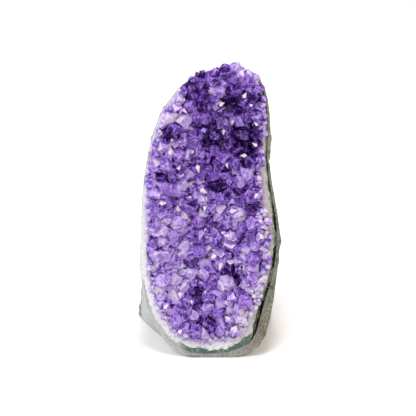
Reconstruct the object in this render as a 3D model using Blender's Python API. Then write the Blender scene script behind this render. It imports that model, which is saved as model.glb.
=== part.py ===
"""A standing amethyst geode: a piece of a basalt nodule, sawn flat below so that it stands, and sawn open
at the front, where amethyst points grow on a quartz lining.

Lengths are in metres, +Z is up and the open face looks towards -Y. The origin is on the sawn base, under
the middle of the stone. Places on the stone are worked out on the sawn face, which leans back: across it,
up it and in depth behind it.
"""

import math
import random

import bmesh
import bpy
from mathutils import Matrix, Vector, geometry, noise

MM = 0.001

# The sawn face.
FACE_LEAN = math.radians(15)
FACE_FOOT_Y = -46 * MM
FACE_MIDDLE = Vector((0, 101 * MM))
FACE_NORMAL = Vector((0, -math.cos(FACE_LEAN), math.sin(FACE_LEAN)))
OUTLINE_STEPS = 48

# The rock's edge on the sawn face, in mm across and up, from the foot by way of the right side.
ROCK_EDGE = [
    (5, -1), (22, 1), (37.5, 9), (44.5, 28.5), (48.5, 56.5), (51, 86.5), (49, 109), (44.8, 131),
    (42.6, 151), (43, 170), (41, 190), (34.5, 205), (17, 211), (-3, 209), (-20, 198),
    (-34, 177.5), (-41.5, 153.5), (-46, 124), (-47.6, 93), (-48.4, 68), (-45.5, 45.5),
    (-38.5, 26.5), (-27.5, 9), (-13, 0.5),
]  # fmt: skip

# The rock behind the sawn face: its rings stand closer together near the face, and it closes low down.
ROCK_DEPTH = 84 * MM
ROCK_RINGS = 14
RING_BUNCHING = 1.35
BACK_END = Vector((0, 12 * MM))
SQUARE_DEPTH = 60 * MM
SQUARE_HEIGHT = 95 * MM
LEFT_HALF = 50 * MM
LEFT_FOOT_HALF = 59 * MM
RIGHT_HALF = 52 * MM
RIGHT_FOOT_HALF = 47 * MM
SQUARE_POWER = 1.25
CORNER_REACH = 1.1
NARROWING_POWER = 6
LOWERING_POWERS = (1.6, 0.6)
ROUGHNESS = 1.5 * MM
ROUGHNESS_SPACING = 26 * MM
ROUGH_BEHIND = 12 * MM
HEART_DEPTH = 38 * MM
POCKET_PLACE = (46.6 * MM, 147 * MM, 7 * MM)
POCKET_SIZE = (4.8 * MM, 5.5 * MM, 16 * MM)

# How wide each layer shows on the sawn face, in mm, by the direction in degrees from the face's middle:
# 0 is to the right, 90 to the top, 180 to the left and 270 to the foot.
ROCK_WIDTH = {
    0: 1.8, 60: 1.5, 80: 1.2, 214: 1.2, 244: 1.8, 262: 3.4, 276: 4.4, 292: 7.0, 302: 7.0, 325: 2.6,
}  # fmt: skip
SEAM_WIDTH = {0: 1.5, 60: 0.8, 240: 0.8, 265: 2.4, 290: 2.8, 320: 2.0}
QUARTZ_WIDTH = {
    0: 6.2, 24: 7.2, 37: 5.6, 55: 3.6, 72: 1.8, 90: 1.5, 135: 1.6, 160: 3.0, 180: 4.0,
    214: 4.2, 235: 5.5, 255: 8.0, 275: 8.5, 290: 8.0, 305: 6.5, 323: 5.0, 340: 6.0,
}  # fmt: skip

# The hollow's layers: how deep each surface lies at the middle of the face.
SEAM_DEPTH = 41 * MM
QUARTZ_DEPTH = 38.5 * MM
BED_BACK_DEPTH = 29 * MM
BED_FRONT_DEPTH = 14 * MM
BOWL_POWER = 2.6
BOWL_SHARES = [1.0, 0.97, 0.92, 0.85, 0.75, 0.6, 0.42, 0.22]
GAP = 0.3 * MM
CUTTER_REACH = 4 * MM

# The deeper part of the hollow, high on the right.
DEEP_PLACE = Vector((16 * MM, 157 * MM))
DEEP_REACH = 34 * MM
DEEP_EXTRA = 7 * MM
DEEPEST_SHARE = 0.5

# The crystal bed's small points.
TIP_SPACING = 6.8 * MM
TIP_EDGE_SHARE = 0.45
TIP_RISE = 2.6 * MM
TIP_RISE_VARIATION = (0.3, 1.0)
SINK = 1.2 * MM
SUNK_SHARE = 0.9
BED_RIM_PROUD = 1.2 * MM
BED_SHARE = 0.965
BED_CLEARANCE = 0.9 * MM

# Quartz's own geometry: the angle between a point's axis and the normals of its end faces.
END_FACE_ANGLE = math.radians(51.8)
SMALL_FACE_BACK = (0.02, 0.32)
FACE_UNEVENNESS = 0.22

# The large crystals: the most prominent, in mm across and up the face, and radius. Others fill in between.
LANDMARKS = [
    (14, 55, 7.4), (-10, 164, 6.8), (-22, 99, 7.0), (23, 107, 6.0), (21, 143, 6.2),
    (-34, 60, 6.2), (33.5, 76, 5.8), (-16, 41, 6.2), (-6, 78, 5.8), (3, 133, 5.4),
    (-37, 99, 5.4), (-7, 100, 5.4), (8, 32, 5.8), (28, 43, 5.6), (-23, 170, 5.4),
    (-13, 62, 5.2), (8, 103, 5.0), (22, 79, 5.0), (-28, 125, 5.8),
]  # fmt: skip
CRYSTAL_SIZES = [5.6 * MM, 4.8 * MM, 4.2 * MM]
SIZE_VARIATION = (0.92, 1.06)
MOST_CRYSTALS = 55
CRYSTAL_SHARE = 0.95
LANDMARK_TRIES = 12
CRYSTAL_TRIES = 500
TIP_TRIES = 9000
FIELD_ACROSS = (-50, 50)
FIELD_UP = (2, 210)
CRYSTAL_TILT = math.radians(20)
FORWARD_SHARE = 0.55
CRYSTAL_APART = 0.9 * MM
PRISM_SHARE = 0.62
PRISM_VARIATION = (0.7, 1.3)
TIP_WIDTH_SHARE = 0.15
ROOT = 3.5 * MM
WALL_LEFT = 1.2 * MM
SEED = 7

# Edges sharper than this stay sharp on the rounded pieces.
SHARP_ANGLE = math.radians(35)


def clear_scene():
    for obj in list(bpy.data.objects):
        bpy.data.objects.remove(obj)


def material(name, red, green, blue, roughness):
    """A plain finish for one kind of piece."""
    made = bpy.data.materials.new(name)
    made.use_nodes = True
    shader = made.node_tree.nodes["Principled BSDF"]
    shader.inputs["Base Color"].default_value = (red, green, blue, 1)
    shader.inputs["Roughness"].default_value = roughness
    shader.inputs["Metallic"].default_value = 0
    return made


def link(name, mesh, finish, rounded=False):
    """A piece of the stone; a rounded one is shaded smooth between its sharp edges."""
    obj = bpy.data.objects.new(name, mesh)
    obj.data.materials.append(finish)
    if rounded:
        mesh.shade_smooth()
        mesh.set_sharp_from_angle(angle=SHARP_ANGLE)
    bpy.context.scene.collection.objects.link(obj)
    return obj


def finish_bmesh(bm, name):
    """The bmesh as a mesh with its faces pointing out."""
    bmesh.ops.remove_doubles(bm, verts=bm.verts, dist=0.01 * MM)
    bmesh.ops.recalc_face_normals(bm, faces=bm.faces)
    mesh = bpy.data.meshes.new(name)
    bm.to_mesh(mesh)
    bm.free()
    return mesh


def smooth(share):
    share = min(1.0, max(0.0, share))
    return share * share * (3 - 2 * share)


def on_face(place, depth=0.0):
    """The point in space at a place across and up the sawn face, and that far behind it."""
    return Vector((
        place[0],
        FACE_FOOT_Y + place[1] * math.sin(FACE_LEAN) + depth * math.cos(FACE_LEAN),
        place[1] * math.cos(FACE_LEAN) - depth * math.sin(FACE_LEAN),
    ))  # fmt: skip


def off_face(point):
    """The place across and up the sawn face of a point in space, and how far behind the face it lies."""
    back = point.y - FACE_FOOT_Y
    up = back * math.sin(FACE_LEAN) + point.z * math.cos(FACE_LEAN)
    return Vector((point.x, up)), back * math.cos(FACE_LEAN) - point.z * math.sin(FACE_LEAN)


def closed_curve(points, steps):
    """Evenly numbered points along the smooth closed curve through points."""
    count = len(points)
    made = []
    for step in range(steps):
        along = step * count / steps
        index = int(along)
        part = along - index
        before, start, end, after = (
            Vector(points[(index + offset) % count]) for offset in (-1, 0, 1, 2)
        )
        made.append(
            0.5
            * (
                2 * start
                + (end - before) * part
                + (2 * before - 5 * start + 4 * end - after) * part**2
                + (3 * start - before - 3 * end + after) * part**3
            )
        )
    return made


def by_direction(table, degrees):
    """The value that table gives for a direction, smoothly from one stated direction to the next."""
    stated = sorted(table)
    degrees %= 360
    low = max(angle for angle in stated if angle <= degrees)
    high = min((angle for angle in stated if angle > degrees), default=stated[0] + 360)
    share = smooth((degrees - low) / (high - low))
    return table[low] + (table[high % 360] - table[low]) * share


def inset(outline, widths):
    """The outline drawn inwards by the width that the table gives for each direction."""
    made = []
    for index, point in enumerate(outline):
        along = outline[(index + 1) % len(outline)] - outline[index - 1]
        outwards = Vector((along.y, -along.x)).normalized()
        ray = point - FACE_MIDDLE
        width = by_direction(widths, math.degrees(math.atan2(ray.y, ray.x)))
        made.append(point - outwards * width * MM)
    return made


def cap(bm, ring, end_point=None):
    """Closes a ring flat or, with an end point, by a fan of triangles to it."""
    if end_point is None:
        bm.faces.new(ring)
        return
    tip = bm.verts.new(end_point)
    for index, vert in enumerate(ring):
        bm.faces.new((ring[index - 1], vert, tip))


def loft(rings, start_point=None, end_point=None):
    """A bmesh skin over rings of equally many points, closed at both ends."""
    bm = bmesh.new()
    loops = [[bm.verts.new(point) for point in ring] for ring in rings]
    for first, second in zip(loops, loops[1:]):
        for index in range(len(first)):
            bm.faces.new((first[index - 1], first[index], second[index], second[index - 1]))
    cap(bm, loops[0], start_point)
    cap(bm, loops[-1], end_point)
    bmesh.ops.recalc_face_normals(bm, faces=bm.faces)
    return bm


def bowl_depth(share, depth):
    return depth * (1 - share**BOWL_POWER)


def bowl_rings(outline, depth):
    """Rings down the wall of a hollow that opens with this outline on the sawn face."""
    return [
        [on_face(FACE_MIDDLE + (p - FACE_MIDDLE) * share, bowl_depth(share, depth)) for p in outline]
        for share in BOWL_SHARES
    ]


def outline_reach(outline, direction):
    """The distance from the face's middle to the outline in a direction."""
    angle = math.atan2(direction.y, direction.x)
    best = None
    for index, point in enumerate(outline):
        a, b = outline[index - 1] - FACE_MIDDLE, point - FACE_MIDDLE
        turn_a = (math.atan2(a.y, a.x) - angle + math.pi) % math.tau - math.pi
        turn_b = (math.atan2(b.y, b.x) - angle + math.pi) % math.tau - math.pi
        if turn_a <= 0 < turn_b and turn_b - turn_a < math.pi:
            best = a.lerp(b, -turn_a / (turn_b - turn_a)).length
    return best


def rim_share(outline, place):
    ray = place - FACE_MIDDLE
    return ray.length / outline_reach(outline, ray) if ray.length > 1e-9 else 0.0


def bed_front_depth(outline, place):
    """Depth of the crystal bed's front: proud at the rim, hollow in the middle, deepest high on the right."""
    share = min(1.0, rim_share(outline, place))
    depth = bowl_depth(share, BED_FRONT_DEPTH + BED_RIM_PROUD) - BED_RIM_PROUD
    extra = DEEP_EXTRA * smooth(1 - (place - DEEP_PLACE).length / DEEP_REACH)
    room = bowl_depth(share, BED_BACK_DEPTH) - depth
    return depth + min(extra, DEEPEST_SHARE * room)


# The host rock: rings that square up behind the sawn face and close at the back, cut off by the base.


def rock_place(edge, depth):
    """Where the rock's side passes, that far behind a point of its edge on the sawn face."""
    squared = min(1.0, depth / SQUARE_DEPTH) ** SQUARE_POWER * (1 - smooth(edge.y / SQUARE_HEIGHT))
    foot_half, half = (LEFT_FOOT_HALF, LEFT_HALF) if edge.x < 0 else (RIGHT_FOOT_HALF, RIGHT_HALF)
    half = foot_half + (half - foot_half) * smooth(edge.y / SQUARE_HEIGHT)
    share = min(1.0, abs(edge.x) / half)
    reach = 1 + (CORNER_REACH - 1) * squared
    across = math.copysign(half * min(1.0, reach * share ** (1 - squared)), edge.x)
    part = min(1.0, depth / ROCK_DEPTH)
    narrowing = math.sqrt(1 - part**NARROWING_POWER)
    lowering = (1 - part ** LOWERING_POWERS[0]) ** LOWERING_POWERS[1]
    return Vector((across * narrowing, edge.y * lowering if edge.y > 0 else edge.y))


def roughened(point, depth):
    """The point moved in or out as the broken rock is uneven, but not on the sawn face's edge."""
    wave = noise.noise(point / ROUGHNESS_SPACING) + 0.4 * noise.noise(point / (0.4 * ROUGHNESS_SPACING))
    away = (point - on_face(FACE_MIDDLE, HEART_DEPTH)).normalized()
    return point + away * wave * ROUGHNESS * smooth(depth / ROUGH_BEHIND)


def basalt_host(edge, hollow_edge, finish):
    rings = []
    for index in range(ROCK_RINGS):
        depth = ROCK_DEPTH * math.sin(index / ROCK_RINGS * math.pi / 2) ** RING_BUNCHING
        rings.append([roughened(on_face(rock_place(p, depth), depth), depth) for p in edge])
    bm = loft(rings, end_point=on_face(BACK_END, ROCK_DEPTH))
    cut = bmesh.ops.bisect_plane(
        bm,
        geom=bm.verts[:] + bm.edges[:] + bm.faces[:],
        plane_co=(0, 0, 0),
        plane_no=(0, 0, -1),
        clear_outer=True,
    )
    base_edges = [item for item in cut["geom_cut"] if isinstance(item, bmesh.types.BMEdge)]
    bmesh.ops.contextual_create(bm, geom=base_edges)
    rock = link("basalt_host", finish_bmesh(bm, "basalt_host"), finish, rounded=True)

    front = [on_face(p, -CUTTER_REACH) for p in hollow_edge]
    middle = on_face(FACE_MIDDLE, SEAM_DEPTH)
    hollow = loft([front, *bowl_rings(hollow_edge, SEAM_DEPTH)], end_point=middle)
    cut_away(rock, cutter("hollow_cutter", finish_bmesh(hollow, "hollow_cutter")), "hollow")

    pocket = bmesh.new()
    bmesh.ops.create_icosphere(pocket, subdivisions=2, radius=1)
    for vert in pocket.verts:
        across, up, depth = (at + size * way for at, size, way in zip(POCKET_PLACE, POCKET_SIZE, vert.co))
        vert.co = on_face((across, up), depth)
    bmesh.ops.recalc_face_normals(pocket, faces=pocket.faces)
    cut_away(rock, cutter("pocket_cutter", finish_bmesh(pocket, "pocket_cutter")), "pocket")
    return rock


def cutter(name, mesh):
    obj = bpy.data.objects.new(name, mesh)
    bpy.context.scene.collection.objects.link(obj)
    obj.hide_render = True
    obj.display_type = "WIRE"
    return obj


def cut_away(obj, tool, name):
    boolean = obj.modifiers.new(name, "BOOLEAN")
    boolean.operation = "DIFFERENCE"
    boolean.solver = "EXACT"
    boolean.object = tool


# The two linings: each a cup from its outer wall over the rim to its inner wall.


def lining(name, outer_edge, outer_depth, inner_edge, inner_depth, finish):
    outer = bowl_rings(outer_edge, outer_depth)
    inner = bowl_rings(inner_edge, inner_depth)
    outer_end, inner_end = (on_face(FACE_MIDDLE, depth) for depth in (outer_depth, inner_depth))
    bm = loft(list(reversed(outer)) + inner, outer_end, inner_end)
    return link(name, finish_bmesh(bm, name), finish, rounded=True)


# The large crystals.


def bed_normal(outline, place):
    """The direction that the bed faces at a place, from the slope of its front."""
    step = 2 * MM
    right, left = (bed_front_depth(outline, place + Vector((s, 0))) for s in (step, -step))
    over, under = (bed_front_depth(outline, place + Vector((0, s))) for s in (step, -step))
    tangent_x = on_face((2 * step, 0), right - left) - on_face((0, 0), 0)
    tangent_y = on_face((0, 2 * step), over - under) - on_face((0, 0), 0)
    return tangent_x.cross(tangent_y).normalized()


class Crystal:
    """One quartz point: where it stands on the bed, its axis, its radius and the turn of its six sides."""

    def __init__(self, outline, place, radius, rng):
        self.radius = radius
        self.foot = on_face(place, bed_front_depth(outline, place))
        tilt = CRYSTAL_TILT * math.sqrt(rng.random())
        lean = Matrix.Rotation(rng.random() * math.tau, 3, "Z") @ Matrix.Rotation(tilt, 3, "X")
        facing = bed_normal(outline, place).lerp(FACE_NORMAL, FORWARD_SHARE)
        upright = facing.to_track_quat("Z", "Y").to_matrix()
        self.spin = upright @ lean @ Matrix.Rotation(rng.random() * math.tau, 3, "Z")
        self.axis = self.spin @ Vector((0, 0, 1))
        self.prism = radius * PRISM_SHARE * rng.uniform(*PRISM_VARIATION)
        self.apex = self.prism + radius * math.cos(math.pi / 6) * math.tan(END_FACE_ANGLE)
        self.small_back = rng.uniform(*SMALL_FACE_BACK)
        self.offsets = [rng.random() for _ in range(6)]

    def sites(self):
        """Points up the axis, from root to apex, with the crystal's radius at each."""
        made = []
        for share in (0, 0.25, 0.5, 0.75, 1):
            height = -ROOT + (self.apex + ROOT) * share
            taper = 1 - max(0.0, height - self.prism) / (self.apex - self.prism)
            made.append((self.foot + self.axis * height, self.radius * max(TIP_WIDTH_SHARE, taper)))
        return made

    def fits(self, wall):
        """Whether the crystal stays inside the quartz lining's outer wall, with quartz left behind it."""
        for point, radius in self.sites():
            place, depth = off_face(point)
            open_share = (1 - max(0.0, depth) / QUARTZ_DEPTH) ** (1 / BOWL_POWER)
            ray = place - FACE_MIDDLE
            if ray.length + radius + WALL_LEFT > outline_reach(wall, ray) * open_share:
                return False
        return True

    def clears(self, other):
        return all(
            (p - q).length > a + b + CRYSTAL_APART for p, a in self.sites() for q, b in other.sites()
        )

    def shape(self, grown=0.0):
        """The hexagonal prism cut to its point by three large end faces and three small ones."""
        bm = bmesh.new()
        radius = self.radius + grown / math.cos(math.pi / 6)
        low, high = -ROOT - grown, self.apex + self.radius
        bmesh.ops.create_cone(
            bm, cap_ends=True, segments=6, radius1=radius, radius2=radius, depth=high - low
        )
        bmesh.ops.translate(bm, verts=bm.verts, vec=(0, 0, (high + low) / 2))
        for side in range(6):
            turn = math.pi / 6 + side * math.pi / 3
            back = self.small_back if side % 2 else 0.0
            normal = Vector((
                math.sin(END_FACE_ANGLE) * math.cos(turn),
                math.sin(END_FACE_ANGLE) * math.sin(turn),
                math.cos(END_FACE_ANGLE),
            ))  # fmt: skip
            uneven = FACE_UNEVENNESS * (self.offsets[side] - 0.5)
            cut = bmesh.ops.bisect_plane(
                bm,
                geom=bm.verts[:] + bm.edges[:] + bm.faces[:],
                plane_co=Vector((0, 0, self.apex + self.radius * (back + uneven))) + normal * grown,
                plane_no=normal,
                clear_outer=True,
            )
            edges = [item for item in cut["geom_cut"] if isinstance(item, bmesh.types.BMEdge)]
            bmesh.ops.contextual_create(bm, geom=edges)
        bmesh.ops.rotate(bm, verts=bm.verts, cent=(0, 0, 0), matrix=self.spin)
        bmesh.ops.translate(bm, verts=bm.verts, vec=self.foot)
        return bm


def grown_crystals(outline, wall):
    """The crystals of the bed, the most prominent first and then as many as fit, from large to small."""
    rng = random.Random(SEED)
    grown = []

    def grow(place, radius):
        crystal = Crystal(outline, place, radius, rng)
        if crystal.fits(wall) and all(crystal.clears(other) for other in grown):
            grown.append(crystal)
            return True
        return False

    for across, up, radius in LANDMARKS:
        for _ in range(LANDMARK_TRIES):
            if grow(Vector((across, up)) * MM, radius * MM):
                break
    for radius in CRYSTAL_SIZES:
        for _ in range(CRYSTAL_TRIES):
            place = Vector((rng.uniform(*FIELD_ACROSS), rng.uniform(*FIELD_UP))) * MM
            if len(grown) < MOST_CRYSTALS and rim_share(outline, place) < CRYSTAL_SHARE:
                grow(place, radius * rng.uniform(*SIZE_VARIATION))
    return grown


# The crystal bed: every vertex of its front is a small point, and every face between three sinks.


def spread_points(outline, spacing, rng):
    """Places inside the outline, none closer than the spacing."""
    found = []
    for _ in range(TIP_TRIES):
        place = Vector((rng.uniform(*FIELD_ACROSS), rng.uniform(*FIELD_UP))) * MM
        margin = TIP_EDGE_SHARE * spacing / outline_reach(outline, place - FACE_MIDDLE)
        if rim_share(outline, place) > 1 - margin:
            continue
        if all((place - other).length > spacing for other in found):
            found.append(place)
    return found


def crystal_bed(outline, finish):
    rng = random.Random(SEED + 1)
    rim = [FACE_MIDDLE + (p - FACE_MIDDLE) * BED_SHARE for p in outline]
    inside = spread_points(rim, TIP_SPACING, rng)
    count = len(rim)
    border = [(i, (i + 1) % count) for i in range(count)]
    places, _, triangles, *_ = geometry.delaunay_2d_cdt(rim + inside, border, [], 1, 1e-7)
    bm = bmesh.new()
    fronts, backs = [], []
    for index, place in enumerate(places):
        share = min(1.0, rim_share(outline, place))
        rise = TIP_RISE * rng.uniform(*TIP_RISE_VARIATION) if index >= count else 0.0
        fronts.append(bm.verts.new(on_face(place, bed_front_depth(outline, place) - rise)))
        backs.append(bm.verts.new(on_face(place, bowl_depth(share, BED_BACK_DEPTH) - BED_CLEARANCE)))
    sunk = []
    for corner in triangles:
        face = bm.faces.new([fronts[i] for i in corner])
        if max(rim_share(outline, places[i]) for i in corner) < SUNK_SHARE:
            sunk.append(face)
        bm.faces.new([backs[i] for i in reversed(corner)])
    for a, b in border:
        bm.faces.new((fronts[b], fronts[a], backs[a], backs[b]))
    bmesh.ops.recalc_face_normals(bm, faces=bm.faces)
    bmesh.ops.poke(bm, faces=sunk, offset=-SINK)
    return link("crystal_bed", finish_bmesh(bm, "crystal_bed"), finish)


def socket_cutter(crystals):
    """The room that the crystals take, a gap wider than they are all round."""
    sockets = bmesh.new()
    for crystal in crystals:
        mesh = finish_bmesh(crystal.shape(grown=GAP), "socket")
        sockets.from_mesh(mesh)
        bpy.data.meshes.remove(mesh)
    return cutter("socket_cutter", finish_bmesh(sockets, "socket_cutter"))


def main():
    clear_scene()
    basalt = material("basalt", 0.24, 0.25, 0.22, 0.55)
    celadonite = material("celadonite", 0.09, 0.13, 0.09, 0.5)
    quartz = material("white_quartz", 0.72, 0.69, 0.76, 0.25)
    druse = material("amethyst_druse", 0.16, 0.09, 0.33, 0.2)
    amethyst = material("amethyst", 0.25, 0.14, 0.48, 0.12)

    rock_edge = closed_curve([(across * MM, up * MM) for across, up in ROCK_EDGE], OUTLINE_STEPS)
    hollow_edge = inset(rock_edge, ROCK_WIDTH)
    basalt_host(rock_edge, hollow_edge, basalt)

    gap_width = {0: GAP / MM}
    seam_outer = inset(hollow_edge, gap_width)
    seam_inner = inset(hollow_edge, SEAM_WIDTH)
    lining("celadonite_seam", seam_outer, SEAM_DEPTH - GAP, seam_inner, QUARTZ_DEPTH + GAP, celadonite)

    quartz_outer = inset(seam_inner, gap_width)
    quartz_inner = inset(seam_inner, QUARTZ_WIDTH)
    quartz_cup = lining(
        "quartz_lining", quartz_outer, QUARTZ_DEPTH, quartz_inner, BED_BACK_DEPTH, quartz
    )

    crystals = grown_crystals(quartz_inner, quartz_outer)
    sockets = socket_cutter(crystals)
    for holder in (quartz_cup, crystal_bed(quartz_inner, druse)):
        cut_away(holder, sockets, "sockets")
    for index, crystal in enumerate(crystals):
        name = f"crystal_{index + 1:02d}"
        link(name, finish_bmesh(crystal.shape(), name), amethyst)


main()
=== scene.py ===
"""The look of a standing amethyst geode: a basalt nodule, sawn flat below so that it stands and sawn open at
the front, where a seam of green celadonite and a white quartz lining hold a bed of amethyst points.

Lengths are in metres, +Z is up and the open face looks towards -Y.
"""

import math
import random

import bmesh
import bpy
import numpy as np
from mathutils import Matrix, Vector, noise
from mathutils.bvhtree import BVHTree


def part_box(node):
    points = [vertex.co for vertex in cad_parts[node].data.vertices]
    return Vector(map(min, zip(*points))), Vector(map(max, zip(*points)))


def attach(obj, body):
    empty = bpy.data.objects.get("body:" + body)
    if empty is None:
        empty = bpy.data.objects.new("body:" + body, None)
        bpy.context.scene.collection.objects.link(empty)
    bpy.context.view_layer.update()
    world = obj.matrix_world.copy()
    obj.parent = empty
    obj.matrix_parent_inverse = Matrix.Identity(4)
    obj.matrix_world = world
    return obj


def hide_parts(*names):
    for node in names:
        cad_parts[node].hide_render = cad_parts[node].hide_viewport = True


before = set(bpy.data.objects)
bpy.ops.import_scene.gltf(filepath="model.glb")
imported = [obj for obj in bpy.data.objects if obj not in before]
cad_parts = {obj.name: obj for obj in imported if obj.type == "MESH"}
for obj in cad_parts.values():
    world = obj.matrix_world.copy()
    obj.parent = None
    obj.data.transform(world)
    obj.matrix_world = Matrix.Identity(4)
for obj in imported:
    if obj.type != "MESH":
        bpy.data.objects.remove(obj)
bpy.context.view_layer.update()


# The studio: a seamless sweep of pale paper, lit by six soft boxes on a wide ring round the stone. Their
# mirror images flash white on the crystal faces that happen to face one of them.

MM = 0.001
STONE_MIDDLE = Vector((0, 0, 99.5 * MM))
CAMERA_DISTANCE = 800 * MM
CAMERA_ELEVATION = math.radians(30)
CAMERA_LENS_MM = 96
CAMERA_SENSOR_MM = 36
CAMERA_SEES_TO = 20
BOX_SIDE = 280 * MM
BOX_DISTANCE = 1.2
WHITE = "FFFFFF"
ROSY = "FFE6E2"
ROOM_LIGHT = 0.42
SWEEP_SIDE = 8.0
SWEEP_COLOUR = "F7F6F5"

# Each soft box: its name, its degrees round from the front to the right, its degrees up, watts and colour.
SOFT_BOXES = (
    ("top", 0, 84, 4.6, WHITE),
    ("high_left", -55, 55, 4.4, WHITE),
    ("high_right", 60, 50, 3.4, ROSY),
    ("left", -95, 24, 4.2, WHITE),
    ("right", 95, 22, 2.2, WHITE),
    ("behind", 170, 62, 5.0, WHITE),
)


def linear(hex_colour):
    """The linear RGBA of an sRGB hex colour."""
    parts = [int(hex_colour[i : i + 2], 16) / 255 for i in (0, 2, 4)]
    return [p / 12.92 if p <= 0.04045 else ((p + 0.055) / 1.055) ** 2.4 for p in parts] + [1.0]


def aimed(obj, place, target):
    """Links a camera or a light, and points it from its place at the target."""
    bpy.context.scene.collection.objects.link(obj)
    obj.location = place
    obj.rotation_euler = (target - Vector(place)).to_track_quat("-Z", "Y").to_euler()
    return obj


def add_node(tree, kind, settings=None, **links):
    """A node of that kind, with its settings set, and its sockets set or linked by name or number. The stops
    of a colour ramp are settings too: places from 0 to 1, each with its hex colour."""
    node = tree.nodes.new(kind)
    for name, value in (settings or {}).items():
        if name == "stops":
            elements = node.color_ramp.elements
            elements.remove(elements[1])
            elements[0].position = value[0][0]
            elements[0].color = linear(value[0][1])
            for position, colour in value[1:]:
                elements.new(position).color = linear(colour)
        else:
            setattr(node, name, value)
    for name, value in links.items():
        numbered = name[0] == "i" and name[1:].isdigit()
        socket = node.inputs[int(name[1:]) if numbered else name.replace("_", " ")]
        if isinstance(value, bpy.types.NodeSocket):
            tree.links.new(value, socket)
        else:
            socket.default_value = value
    return node


def new_material(name, **values):
    """A material by that name: its node tree and its Principled shader, whose plain values are set here."""
    made = bpy.data.materials.new(name)
    made.use_nodes = True
    shader = made.node_tree.nodes["Principled BSDF"]
    for socket, value in values.items():
        shader.inputs[socket.replace("_", " ")].default_value = value
    return made, made.node_tree, shader


eye = bpy.data.cameras.new("camera")
eye.lens = CAMERA_LENS_MM
eye.sensor_width = CAMERA_SENSOR_MM
eye.clip_end = CAMERA_SEES_TO
away = Vector((0, -math.cos(CAMERA_ELEVATION), math.sin(CAMERA_ELEVATION)))
bpy.context.scene.camera = aimed(
    bpy.data.objects.new("camera", eye), STONE_MIDDLE + away * CAMERA_DISTANCE, STONE_MIDDLE
)
bpy.context.scene.view_settings.view_transform = "Standard"

for name, turn_deg, height_deg, watts, colour in SOFT_BOXES:
    turn, height = math.radians(turn_deg), math.radians(height_deg)
    way = Vector((math.sin(turn) * math.cos(height), -math.cos(turn) * math.cos(height), math.sin(height)))
    lamp = bpy.data.lights.new("box_" + name, "AREA")
    lamp.shape = "SQUARE"
    lamp.size = BOX_SIDE
    lamp.energy = watts
    lamp.color = linear(colour)[:3]
    aimed(bpy.data.objects.new("box_" + name, lamp), STONE_MIDDLE + way * BOX_DISTANCE, STONE_MIDDLE)

world = bpy.data.worlds.new("studio")
bpy.context.scene.world = world
world.use_nodes = True
world.node_tree.nodes["Background"].inputs["Color"].default_value = linear(WHITE)
world.node_tree.nodes["Background"].inputs["Strength"].default_value = ROOM_LIGHT

# Matt paper has no sheen, so the floor is one even pale tone and takes only a soft shadow.
paper, _, _ = new_material("matt_paper", Base_Color=linear(SWEEP_COLOUR), Roughness=0.9)
sweep_mesh = bmesh.new()
bmesh.ops.create_grid(sweep_mesh, x_segments=1, y_segments=1, size=SWEEP_SIDE / 2)
sweep = bpy.data.objects.new("sweep", bpy.data.meshes.new("sweep"))
sweep_mesh.to_mesh(sweep.data)
sweep_mesh.free()
sweep.data.materials.append(paper)
bpy.context.scene.collection.objects.link(sweep)


# The host rock: a nodule of fine-grained basalt, with its natural, pitted skin behind. Its foot is sawn off,
# a flat is ground on its lower left, and its front is sawn open along a plane that leans back. The places on
# every piece are worked out across this sawn face, up it and in depth behind it.

FACE_LEAN = math.radians(15)
FACE_FOOT_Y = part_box("basalt_host")[0].y
FACE_NORMAL = Vector((0, -math.cos(FACE_LEAN), math.sin(FACE_LEAN)))
ON_FACE = 0.05 * MM
ROCK_LONGEST_EDGE = 2.4 * MM
SHARP_ANGLE = math.radians(38)

# The skin is smoothed, and then lumps of three spacings and heights and round pits are worked into it. They
# fade out towards the cuts, and sooner on the right, where the wall is thin.
SMOOTHING_ROUNDS = 12
LUMPS = ((24 * MM, 2.0 * MM), (10 * MM, 1.3 * MM), (5 * MM, 0.7 * MM))
PIT_SPACING = 7 * MM
PIT_DEPTH = 1.1 * MM
PIT_EDGE = (0.1, 0.38)
CUT_MARGIN = 0.3 * MM
FADE = 5 * MM
THIN_WALL_FROM = 30 * MM
THIN_WALL_FADE = 2 * MM

# The flat that is ground on the left, an oval in height and depth with a wavy outline, and the fresh, pale
# rock round the sawn face. Each pair but the first three is a range over which the pale colour comes or goes.
# The pale colour is partly the cut rock's own and partly painted light, strongest on the left, where the
# light comes from.
GROUND_MIDDLE = (16 * MM, 14 * MM)
GROUND_HALF_SIZE = (66 * MM, 34 * MM)
GROUND_WAVES = (11 * MM, 4 * MM)
GROUND_EDGE = (-0.04, 0.06)
GROUND_LEFT = (10 * MM, 20 * MM)
RIM_LEFT = (5 * MM, 25 * MM)
RIM_DEPTH = 0.6 * MM
RIM_LOW = (6 * MM, 16 * MM)
PALE_EDGE_LEFT = (-4 * MM, 8 * MM)
PALE_EDGE_UP = (20 * MM, 60 * MM)
PALE_EDGE_DEPTH = (1 * MM, 5 * MM)
PALE_SHARE = 0.85

# The notch that is broken out of the right edge, under a raised lip.
NOTCH_CORNER = (44 * MM, 147 * MM, 7 * MM)
NOTCH_REACH = 10 * MM
NOTCH_SIDE = (0.3, 0.7)
NOTCH_BACK = (35 * MM, 55 * MM)
NOTCH_UP = 137 * MM
NOTCH_DEPTH = 2.8 * MM
LIP_FOOT = (145 * MM, 149 * MM)
LIP_TOP = (152 * MM, 172 * MM)
LIP_HEIGHT = 1.6 * MM

# The crack between the rock and the seam, on the right, whose walls are painted dark as shade.
CRACK_LONGEST_EDGE = 0.9 * MM
CRACK_LEFT_END = 12 * MM
CRACK_REACH = 4.5 * MM
CRACK_SHADE_DEPTH = 0.3 * MM

TIMES_PLUS = {"operation": "MULTIPLY_ADD"}
LARGER = {"operation": "MAXIMUM"}
LARGER_TO_ONE = {"operation": "MAXIMUM", "use_clamp": True}
SMOOTH_STEP = {"interpolation_type": "SMOOTHSTEP"}
COLOURS = {"data_type": "RGBA"}


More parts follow.
